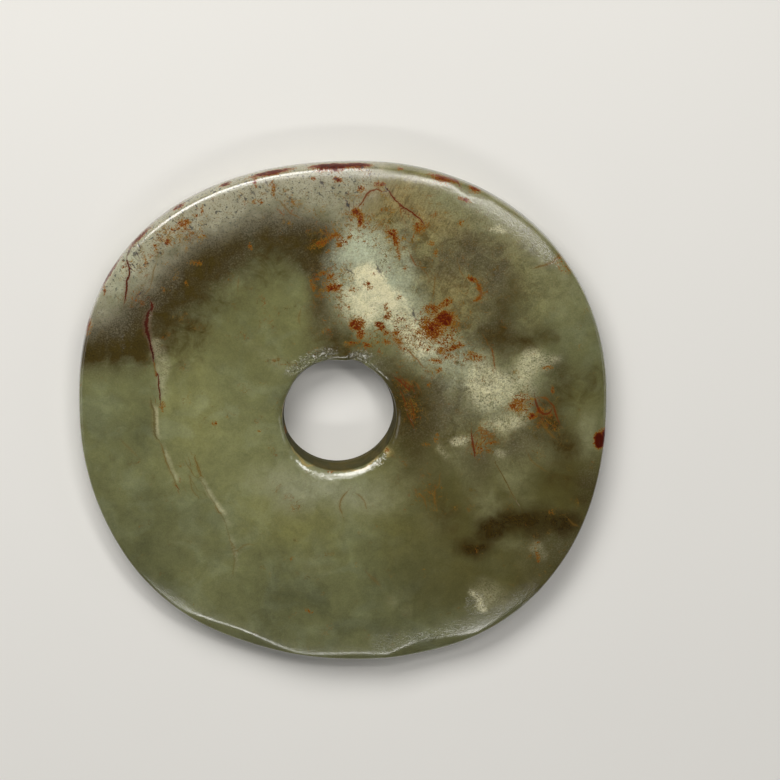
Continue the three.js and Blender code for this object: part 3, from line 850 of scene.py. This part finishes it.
def relief(places, normals):
    """How deep each place lies below the smooth surface, in mm."""
    front = risen(places[:, 2], RELIEF_RISES)
    facing = ease(normals[:, 2] * 2)
    depth = uneven(places, HAND_GRINDING, 11) * np.maximum(front, GRINDING_SHARE_BEHIND)
    depth += uneven(places, FINE_UNEVENNESS, 12)
    stirred_places = stirred(places, 1.8, 0.25, 31)
    for crack in CRACKS:
        depth += step_depth(stirred_places, crack) * front * facing
    radius = from_hole(places)
    by_lip = ease(3 - radius / LIP_UNEVENNESS_HALF_REACH) * front
    depth += uneven(places, LIP_UNEVENNESS, 16, octaves=2) * by_lip
    turn = np.arctan2(places[:, 1] - HOLE_Y, places[:, 0] - HOLE_X)
    for direction, half_span, start in LIP_SCOOPS:
        scoop = LIP_SCOOP_SLOPE * np.clip(start - radius, 0, LIP_SCOOP_REACH)
        depth += scoop * in_span(turn, direction, half_span) * front
    wear = strongest(LIP_WEAR + EDGE_WEAR, places) * front
    pits = ease((noise(places, 1.1, 14, octaves=2) - 0.1) * 2.2)
    depth += PIT_DEPTH * wear * pits
    rust_pits = ease((noise(places, 0.9, 15) - 0.2) * 3)
    depth += RUST_PIT_DEPTH * np.minimum(strongest(RUST, stirred_places), 1) * rust_pits * front
    wavering = DRILL_GROOVE_WAVER * np.sin(turn)
    grooves = 0.5 + 0.5 * np.sin(2 * np.pi * places[:, 2] / DRILL_GROOVE_PITCH + wavering)
    return depth + DRILL_GROOVE_DEPTH * grooves * bore_share(places)


def vein_fields(places, front):
    """For the nearest vein or crack: the distance from it in half widths, signed by the side, its ink, its
    tone and its cut. The ink fades out before another line is nearest."""
    nearest = np.full(len(places), FAR_AWAY)
    fields = {"vein_side": LINE_SIDE_LIMIT, "vein_ink": 0.0, "vein_tone": TONE_WITHOUT_LINE, "vein_cut": 0.0}
    for line in VEINS + SLATE_SPECKS + CRACKS:
        distance, reached = from_line(places, line.line)
        away = np.abs(distance)
        taper = between(LINE_TIP_WIDTH, 1, np.sqrt(np.clip(4 * reached * (1 - reached), 0, 1)))
        found = {
            "vein_side": np.clip(distance / (line.width * taper), -LINE_SIDE_LIMIT, LINE_SIDE_LIMIT),
            "vein_ink": line.ink * ease(LINE_CROSSING - away / LINE_INK_REACH) * front,
            "vein_tone": line.tone,
            "vein_cut": line.cut if isinstance(line, Vein) else 1.0,
        }
        fields = {name: np.where(away < nearest, found[name], fields[name]) for name in fields}
        nearest = np.minimum(away, nearest)
    return fields


def ledge_highlight_field(places):
    """How strong the painted highlight is along the raised edge on the left of the cracks."""
    ledge = np.zeros(len(places))
    for crack in CRACKS:
        distance, reached = from_line(places, crack.line)
        beside = ease(1.5 - np.abs(distance - LEDGE_HIGHLIGHT_MIDDLE) / LEDGE_HIGHLIGHT_REACH)
        beside = beside * inside_ends(reached, LEDGE_HIGHLIGHT_END_STEEPNESS)
        ledge = np.maximum(ledge, crack.edge_highlight * beside)
    return ledge


def stone_fields(places):
    """The fields that the material reads at every place on the surface. Most go from 0 to about 1."""
    front = risen(places[:, 2], FRONT_RISES)
    broad = stirred(stirred(places, 9, 1.3, 41), 3, 0.7, 45)
    fine = stirred(places, 1.6, 0.3, 51)
    by_lines = stirred(places, 1.3, 0.16, 61)
    rust = np.maximum(strongest(RUST, fine) * front, strongest(EDGE_RUST, fine))
    back_rust = strongest(BACK_RUST, broad) * risen(places[:, 2], BACK_RISES)
    return {
        **{name: blended(name, broad) for name in ZONES},
        "rust": np.maximum(rust, back_rust),
        "worn": strongest(LIP_WEAR + EDGE_WEAR, places) * front,
        "bore": bore_share(places),
        # Painted highlight along the raised edge beside each crack.
        "ledge": ledge_highlight_field(by_lines) * front,
        **vein_fields(by_lines, front),
    }


def disc_mesh():
    """The finely modelled disc with its relief and its fields."""
    grid = disc_points()
    normals = outward(grid).reshape(-1, 3)
    steps, rows = grid.shape[:2]
    places = grid.reshape(-1, 3)
    fields = stone_fields(places)
    points = places - normals * relief(places, normals)[:, None]
    points[:, 2] = np.maximum(points[:, 2], 0)
    step, row = np.meshgrid(np.arange(steps), np.arange(rows), indexing="ij")
    next_step = (step + 1) % steps
    next_row = (row + 1) % rows
    corners = [step * rows + row, next_step * rows + row, next_step * rows + next_row, step * rows + next_row]
    faces = np.stack(corners, axis=-1).reshape(-1, 4)
    mesh = bpy.data.meshes.new("jade_disc")
    mesh.from_pydata((points * MM).tolist(), [], faces.tolist())
    mesh.shade_smooth()
    for name, values in fields.items():
        mesh.attributes.new(name, "FLOAT", "POINT").data.foreach_set("value", values.astype(np.float32))
    mesh.update()
    return mesh


# Nodes.


class Nodes:
    """Makes and links the nodes of one material. Sizes of patterns are given in mm."""

    def __init__(self, name):
        self.material = bpy.data.materials.new(name)
        self.material.use_nodes = True
        self.tree = self.material.node_tree
        self.tree.nodes.clear()
        self.places = self.add("ShaderNodeTexCoord").outputs["Object"]

    def add(self, kind, **settings):
        node = self.tree.nodes.new(kind)
        for name, value in settings.items():
            setattr(node, name, value)
        return node

    def put(self, value, socket):
        """Links a socket's value, or sets it to a number or a colour."""
        if isinstance(value, bpy.types.NodeSocket):
            self.tree.links.new(value, socket)
        elif isinstance(value, tuple) and len(value) == 3 and socket.type == "RGBA":
            socket.default_value = (*value, 1)
        else:
            socket.default_value = value

    def field(self, name):
        return self.add("ShaderNodeAttribute", attribute_name=name).outputs["Fac"]

    def blend_by(self, value, start, end, below, above):
        """below where a value is up to start, above where it is from end on, and a smooth change between."""
        return self.mix(self.fade(value, start, end), below, above)

    def stretched(self, turn, factor):
        """The places for a pattern that is drawn out by a factor in one direction, in degrees from +X."""
        node = self.add("ShaderNodeMapping", vector_type="TEXTURE")
        self.put(self.places, node.inputs["Vector"])
        node.inputs["Rotation"].default_value = (0, 0, math.radians(turn))
        node.inputs["Scale"].default_value = (factor, 1.0, 1.0)
        return node.outputs["Vector"]

    def scaled(self, colour, factor):
        node = self.add("ShaderNodeVectorMath", operation="SCALE")
        self.put(colour, node.inputs[0])
        self.put(factor, node.inputs["Scale"])
        return node.outputs[0]

    def noise(self, size, detail=3.0, roughness=0.5, distortion=0.0, places=None):
        """Noise from 0 to 1 with a mean of a half."""
        node = self.add("ShaderNodeTexNoise")
        self.put(places or self.places, node.inputs["Vector"])
        node.inputs["Scale"].default_value = 1 / (size * MM)
        node.inputs["Detail"].default_value = detail
        node.inputs["Roughness"].default_value = roughness
        node.inputs["Distortion"].default_value = distortion
        return node.outputs[0]

    def math(self, operation, *values):
        node = self.add("ShaderNodeMath", operation=operation)
        for value, socket in zip(values, node.inputs):
            self.put(value, socket)
        return node.outputs[0]

    def plus(self, value, extra, factor=1.0, middle=0.0):
        """value + (extra - middle) * factor"""
        scaled = self.math("MULTIPLY_ADD", extra, factor, -middle * factor)
        return self.math("ADD", value, scaled)

    def from_half(self, value):
        """How far a value is from a half, which makes thin lines of noise."""
        return self.math("ABSOLUTE", self.math("SUBTRACT", value, 0.5))

    def times(self, *values):
        product = values[0]
        for value in values[1:]:
            product = self.math("MULTIPLY", product, value)
        return product

    def fade(self, value, start, end, low=0.0, high=1.0):
        """low up to start, high from end on, and a smooth change between."""
        node = self.add("ShaderNodeMapRange", interpolation_type="SMOOTHSTEP")
        for part, socket in zip((value, start, end, low, high), node.inputs):
            self.put(part, socket)
        return node.outputs[0]

    def mix(self, share, below, above):
        node = self.add("ShaderNodeMix", data_type="RGBA")
        self.put(share, node.inputs[0])
        self.put(below, node.inputs[6])
        self.put(above, node.inputs[7])
        return node.outputs[2]

    def bump(self, height, depth, below=None):
        """A bump whose height from 0 to 1 stands for a depth in mm."""
        node = self.add("ShaderNodeBump")
        node.inputs["Strength"].default_value = 1.0
        node.inputs["Distance"].default_value = depth * MM
        self.put(height, node.inputs["Height"])
        if below is not None:
            self.put(below, node.inputs["Normal"])
        return node.outputs["Normal"]

    def finished(self, shader):
        """The material, once a shader is its surface."""
        self.put(shader.outputs[0], self.add("ShaderNodeOutputMaterial").inputs["Surface"])
        return self.material


# Nephrite.

# Colours are linear.
GREEN = (0.150, 0.153, 0.064)
MILKY_GREEN = (0.186, 0.200, 0.106)
YELLOW_GREEN = (0.165, 0.156, 0.048)
DUSK = (0.084, 0.072, 0.018)
CLAY = (0.095, 0.078, 0.028)
PALE_CLAY = (0.215, 0.196, 0.086)
TAN = (0.260, 0.205, 0.084)
TAN_FIBRE = (0.105, 0.072, 0.024)
VEIL_AND_GLOW = (0.200, 0.196, 0.098)
SMOKE = (0.066, 0.054, 0.028)
SMOKE_GRAIN = (0.135, 0.120, 0.078)
TOBACCO = (0.048, 0.033, 0.005)
BLEACHED = (0.360, 0.345, 0.240)
BLEACHED_GRAIN = (0.135, 0.115, 0.066)
MILK_AND_GLOW = (0.410, 0.440, 0.305)
CREAM = (0.660, 0.620, 0.400)
CREAM_GRAIN = (0.230, 0.195, 0.085)
PALE_EDGE = (0.380, 0.290, 0.105)
BROWN_BAND = (0.034, 0.020, 0.001)
BORE_SHADE = (0.040, 0.034, 0.010)
EARTH = (0.085, 0.062, 0.012)
VEIN_BROWN = (0.155, 0.082, 0.012)
OCHRE = (0.255, 0.140, 0.012)
ORANGE = (0.190, 0.048, 0.001)
RUST_RED = (0.108, 0.010, 0.001)
DARK_RED = (0.048, 0.004, 0.001)
SLATE = (0.040, 0.042, 0.042)
SPECK_BROWN = (0.060, 0.045, 0.020)
BLUSH = (0.170, 0.092, 0.060)

# Layers of paint on noise or on the rust field: where each starts and is full, its amount and colour.
DAB_LAYERS = [(0.63, 0.68, 0.8, OCHRE), (0.66, 0.71, 0.9, ORANGE), (0.69, 0.73, 0.95, RUST_RED)]
RUST_LAYERS = [
    (0.25, 0.55, 0.75, OCHRE), (0.5, 0.8, 0.92, ORANGE), (0.90, 1.15, 0.96, RUST_RED),
    (1.3, 1.7, 0.85, DARK_RED),
]
# The colours that a vein's tone goes through: where each starts and where it is full.
VEIN_TONES = [
    (0.05, 0.2, VEIN_BROWN), (0.3, 0.5, ORANGE), (0.45, 0.62, RUST_RED), (0.65, 1.0, DARK_RED),
    (1.1, 1.5, SLATE),
]
POLISHED_ROUGHNESS = 0.17
ROUGHER = {"bleached": 0.06, "cream": 0.10, "bore": 0.50, "worn": 0.06, "soft_polish": 0.07}
RUST_ROUGHNESS = 0.16
# Depths of the bumps, in mm.
POLISH_BUMP = 0.03
SCRATCH_BUMP = 0.008
GRAIN_BUMP = 0.05
GROOVE_BUMP = 0.05
PIT_BUMP = 0.12


def lay_over(n, colour, name, finish, ragged, raggedness):
    """Lays a finish over a colour where a zone is strong, with soft and slightly ragged edges."""
    field = n.field(name)
    torn = n.times(n.plus(0.0, ragged, raggedness, 0.5), n.fade(field, 0.0, 0.35))
    return n.mix(n.times(n.math("ADD", field, torn), 1.15), colour, finish)


def stone_colour(n, clouds, wisps, grain):
    """The green stone with its broad zones, the painted highlight beside the cracks and the painted shade in
    the hole.
    """
    # Painted light and shade, with the stone's own lighter and duller parts, set how bright the green is.
    light = n.plus(n.plus(1.0, n.field("brighter_and_painted_light"), 0.34), n.field("duller_and_painted_shade"), -0.5)
    light = n.plus(light, clouds, 1.0, 0.5)
    healed = n.from_half(n.noise(9, detail=6, roughness=0.6, distortion=1.4))
    light = n.plus(light, n.fade(healed, 0.0, 0.06, 1.0, 0.0), 0.04)
    milky = n.fade(n.noise(8, detail=3, roughness=0.5, distortion=0.6), 0.44, 0.66, 0.0, 0.5)
    colour = n.mix(n.field("warm"), GREEN, YELLOW_GREEN)
    colour = n.mix(n.times(milky, n.fade(n.field("warm"), 0.0, 0.8, 1.0, 0.4)), colour, MILKY_GREEN)
    colour = n.scaled(colour, light)
    drifts = n.noise(5, detail=6, roughness=0.66, distortion=1.0)
    wispy_drifts = n.plus(drifts, wisps, 0.8, 0.5)
    fibres = n.noise(0.6, detail=4, roughness=0.6, distortion=0.3, places=n.stretched(64, 5))
    layers = [
        ("dusk", DUSK, clouds, 0.6),
        ("clay", n.blend_by(drifts, 0.37, 0.60, CLAY, PALE_CLAY), clouds, 0.7),
        ("tan", n.blend_by(fibres, 0.40, 0.75, TAN, TAN_FIBRE), wisps, 0.7),
        # Pale veils, and a painted glow below the hole and at the worn dip of the top edge.
        ("veil_and_glow", VEIL_AND_GLOW, wisps, 0.9),
        ("smoke", n.blend_by(grain, 0.40, 0.80, SMOKE, SMOKE_GRAIN), n.plus(wisps, grain, 0.6, 0.5), 1.0),
        ("tobacco", TOBACCO, wispy_drifts, 1.3),
        ("bleached", n.blend_by(grain, 0.44, 0.72, BLEACHED, BLEACHED_GRAIN),
         n.plus(wisps, grain, 0.8, 0.5), 0.8),
        # Bluish white clouds, and a faint painted glow below the hole.
        ("milk_and_glow", MILK_AND_GLOW, wisps, 0.7),
        ("cream", n.blend_by(grain, 0.58, 0.80, CREAM, CREAM_GRAIN), n.plus(wisps, grain, 1.6, 0.5), 1.0),
        ("brown_band", BROWN_BAND, wispy_drifts, 1.0),
        ("pale_edge", PALE_EDGE, grain, 0.9),
    ]
    for name, finish, ragged, raggedness in layers:
        colour = lay_over(n, colour, name, finish, ragged, raggedness)
    # Painted highlight in cream along the raised edge of each crack's step.
    colour = n.mix(n.times(n.field("ledge"), n.fade(wisps, 0.3, 0.7, 0.1, 0.6)), colour, CREAM)
    # Painted shade: the wall of the hole is darkened towards a dark olive-brown.
    return n.mix(n.times(n.field("bore"), 0.9), colour, BORE_SHADE)


def threads_of_rust(n, colour, size, width, dense, start=OCHRE, end=ORANGE):
    """Thin broken threads of rust in two colours, closest together where dense is 1."""
    lines = n.noise(size, detail=3, roughness=0.55, distortion=1.1)
    ridge = n.from_half(lines)
    broken = n.fade(n.noise(size * 0.8, detail=2), 0.46, 0.56)
    thread = n.times(n.fade(ridge, width * 0.35, width, 1.0, 0.0), broken, dense)
    rust = n.blend_by(n.noise(size * 1.7), 0.4, 0.6, start, end)
    return n.mix(n.times(thread, 0.85), colour, rust)


def stains(n, colour, grain):
    """The stone's colour with its rust, specks, veins and cracks, and how much rust there is."""
    dense = n.plus(n.field("rusty"), n.noise(4, detail=3), 2.2, 0.5)
    brown = n.math("MAXIMUM", n.fade(dense, 0.15, 0.6), n.times(n.field("clay"), 0.6))
    colour = threads_of_rust(n, colour, 1.6, 0.035, brown, VEIN_BROWN, EARTH)
    colour = threads_of_rust(n, colour, 2.2, 0.026, n.fade(dense, 0.20, 0.6))
    colour = threads_of_rust(n, colour, 1.2, 0.040, n.fade(dense, 0.45, 0.9))
    dabs = n.noise(1.2, detail=5, roughness=0.62, distortion=2.6)
    dabs = n.plus(dabs, n.times(n.fade(dense, 0.1, 1.3), n.fade(n.field("rusty"), 0.15, 0.5)), 0.17)
    dabs = n.times(dabs, n.fade(n.field("rusty"), 0.05, 0.2, 0.8, 1.0))
    for start, end, amount, paint in DAB_LAYERS:
        colour = n.mix(n.times(n.fade(dabs, start, end), amount), colour, paint)

    blotches = n.noise(0.9, detail=5, roughness=0.66, distortion=2.4)
    rust = n.plus(n.times(n.field("rust"), 1.22), blotches, 5.2, 0.5)
    there = n.fade(n.field("rust"), 0.02, 0.16)
    for start, end, amount, paint in RUST_LAYERS:
        colour = n.mix(n.times(n.fade(rust, start, end), there, amount), colour, paint)
    red = n.times(n.fade(rust, 0.90, 1.15), there)

    speckled = n.fade(n.field("bleached"), 0.2, 0.8)
    dots = n.noise(0.8, detail=1, roughness=0.4, distortion=0.4)
    colour = n.mix(n.times(n.fade(dots, 0.64, 0.69), speckled, 0.75), colour, SLATE)
    small_dots = n.noise(0.45, detail=2, roughness=0.5, distortion=0.8)
    colour = n.mix(n.times(n.fade(small_dots, 0.63, 0.69), speckled, 0.7), colour, SPECK_BROWN)

    side = n.math("ABSOLUTE", n.field("vein_side"))
    ragged = n.plus(side, grain, 2.0, 0.5)
    line = n.times(n.fade(ragged, 0.6, 1.35, 1.0, 0.0), n.field("vein_ink"))
    halo = n.times(n.fade(ragged, 0.8, 4.5, 0.32, 0.0), n.field("vein_ink"))
    tone = n.field("vein_tone")
    ink = EARTH
    for start, end, paint in VEIN_TONES:
        ink = n.blend_by(tone, start, end, ink, paint)
    colour = n.mix(halo, colour, n.blend_by(tone, 0.5, 0.9, VEIN_BROWN, BLUSH))
    return n.mix(line, colour, ink), red


def nephrite():
    """Waxy, slightly translucent nephrite with everything that shows on and in it."""
    n = Nodes("nephrite")
    clouds = n.noise(13, detail=5, roughness=0.55, distortion=0.5)
    wisps = n.noise(3.6, detail=6, roughness=0.62, distortion=0.7)
    grain = n.noise(0.36, detail=2, roughness=0.6)
    colour = stone_colour(n, clouds, wisps, grain)
    granular = n.math("MAXIMUM", n.field("bleached"), n.math("MAXIMUM", n.field("smoke"), n.field("clay")))
    mottled = n.plus(1.0, wisps, 0.65, 0.5)
    mottled = n.plus(mottled, n.times(n.plus(0.5, granular, 1.1), n.plus(0.0, grain, 1.0, 0.5)))
    colour = n.scaled(colour, mottled)
    colour, red = stains(n, colour, grain)

    roughness = n.plus(n.plus(POLISHED_ROUGHNESS, wisps, 0.12, 0.5), red, RUST_ROUGHNESS)
    for name, amount in ROUGHER.items():
        roughness = n.plus(roughness, n.field(name), amount)

    scratches = n.noise(0.35, detail=2, places=n.stretched(35, 8.0))
    polish = n.noise(1.1, detail=3, roughness=0.55)
    line = n.fade(n.math("ABSOLUTE", n.field("vein_side")), 0.2, 1.8)
    cut = n.times(n.field("vein_ink"), n.field("vein_cut"))
    groove = n.math("SUBTRACT", 1.0, n.times(n.math("SUBTRACT", 1.0, line), cut))
    pits = n.fade(n.noise(0.8, detail=3, roughness=0.6), 0.42, 0.62)
    normal = n.bump(polish, POLISH_BUMP)
    normal = n.bump(scratches, SCRATCH_BUMP, normal)
    normal = n.bump(n.times(grain, n.field("soft_polish")), GRAIN_BUMP, normal)
    normal = n.bump(groove, GROOVE_BUMP, normal)
    normal = n.bump(n.times(pits, n.field("worn")), PIT_BUMP, normal)

    glossy = n.times(n.fade(n.field("bore"), 0.0, 1.0, 1.0, 0.0), n.fade(red, 0.0, 1.0, 1.0, 0.2))
    shader = n.add("ShaderNodeBsdfPrincipled")
    n.put(colour, shader.inputs["Base Color"])
    n.put(roughness, shader.inputs["Roughness"])
    n.put(normal, shader.inputs["Normal"])
    n.put(n.fade(glossy, 0.0, 1.0, 0.05, 0.5), shader.inputs["Specular IOR Level"])
    shader.inputs["IOR"].default_value = 1.61
    n.put(n.times(glossy, 0.8), shader.inputs["Coat Weight"])
    n.put(n.plus(0.12, n.field("soft_polish"), 0.16), shader.inputs["Coat Roughness"])
    shader.inputs["Coat IOR"].default_value = 1.55
    n.put(normal, shader.inputs["Coat Normal"])
    shader.inputs["Subsurface Weight"].default_value = 0.3
    shader.inputs["Subsurface Radius"].default_value = (1.0, 0.9, 0.5)
    shader.inputs["Subsurface Scale"].default_value = 1.2 * MM
    return n.finished(shader)


# Pieces and scene.


def make_object(name, data):
    made = bpy.data.objects.new(name, data)
    bpy.context.scene.collection.objects.link(made)
    return made


def make_disc():
    disc = make_object("jade_disc", disc_mesh())
    disc.data.materials.append(nephrite())
    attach(disc, "root")
    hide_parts("bi_disc")


FLOOR_SIZE = 6.0
FLOOR_COLOUR = (0.74, 0.73, 0.70)


def make_floor():
    """A plain pale floor on which the disc lies."""
    half = FLOOR_SIZE / 2
    mesh = bpy.data.meshes.new("floor")
    corners = [(-half, -half, 0), (half, -half, 0), (half, half, 0), (-half, half, 0)]
    mesh.from_pydata(corners, [], [(0, 1, 2, 3)])
    n = Nodes("floor")
    shader = n.add("ShaderNodeBsdfPrincipled")
    tint = n.noise(60, detail=4)
    n.put(n.mix(tint, FLOOR_COLOUR, tuple(0.97 * part for part in FLOOR_COLOUR)), shader.inputs["Base Color"])
    shader.inputs["Roughness"].default_value = 0.9
    mesh.materials.append(n.finished(shader))
    make_object("floor", mesh)


@dataclass
class Softbox:
    """A soft light: the directions in degrees where it stands, its size in metres and its power."""

    name: str
    azimuth: float
    elevation: float
    width: float
    height: float
    watts: float


LIGHT_DISTANCE = 1.0
LIGHT_COLOUR = (1.0, 0.985, 0.96)
SOFTBOXES = [
    Softbox("key", 114, 42, 0.85, 0.40, 9.6),
    Softbox("high_strip", 92, 63, 0.60, 0.06, 1.0),
    Softbox("top_right_strip", 46, 57, 0.50, 0.14, 2.1),
    Softbox("front_strip", 270, 42, 0.90, 0.10, 2.1),
    Softbox("left", 188, 32, 0.40, 0.30, 0.3),
    Softbox("right", 355, 28, 0.40, 0.30, 0.3),
]


def make_light(softbox):
    azimuth = math.radians(softbox.azimuth)
    elevation = math.radians(softbox.elevation)
    towards = Vector((
        math.cos(azimuth) * math.cos(elevation),
        math.sin(azimuth) * math.cos(elevation),
        math.sin(elevation),
    ))
    light = bpy.data.lights.new(softbox.name, "AREA")
    light.shape = "RECTANGLE"
    light.size = softbox.width
    light.size_y = softbox.height
    light.energy = softbox.watts
    light.color = LIGHT_COLOUR
    lamp = make_object(softbox.name, light)
    lamp.location = towards * LIGHT_DISTANCE
    lamp.rotation_euler = towards.to_track_quat("Z", "Y").to_euler()


WORLD_COLOUR = (0.95, 0.97, 1.0)
WORLD_STRENGTH = 0.035


def make_world():
    world = bpy.data.worlds.new("studio")
    world.use_nodes = True
    background = world.node_tree.nodes["Background"]
    background.inputs["Color"].default_value = (*WORLD_COLOUR, 1)
    background.inputs["Strength"].default_value = WORLD_STRENGTH
    bpy.context.scene.world = world
    bpy.context.scene.view_settings.view_transform = "Standard"


# The camera looks down on the lying disc. It leans from straight above towards the picture's top.
VIEW_LEAN_UP = 14.0
VIEW_LEAN_LEFT = 3.0
VIEW_DISTANCE = 1.0
AIM = (0.0114, 0.0058, 0.0050)
FOCAL_LENGTH = 187.8
SENSOR_WIDTH = 36.0


def make_camera():
    lean = Vector((-math.tan(math.radians(VIEW_LEAN_LEFT)), math.tan(math.radians(VIEW_LEAN_UP)), 1.0))
    back = lean.normalized()
    up = (Vector((0, 1, 0)) - back * back.y).normalized()
    right = up.cross(back)
    data = bpy.data.cameras.new("camera")
    data.lens = FOCAL_LENGTH
    data.sensor_width = SENSOR_WIDTH
    camera = make_object("camera", data)
    turned = Matrix((right, up, back)).transposed().to_4x4()
    camera.matrix_world = Matrix.Translation(Vector(AIM) + back * VIEW_DISTANCE) @ turned
    bpy.context.scene.camera = camera


make_camera()
make_world()
make_floor()
for softbox in SOFTBOXES:
    make_light(softbox)
make_disc()
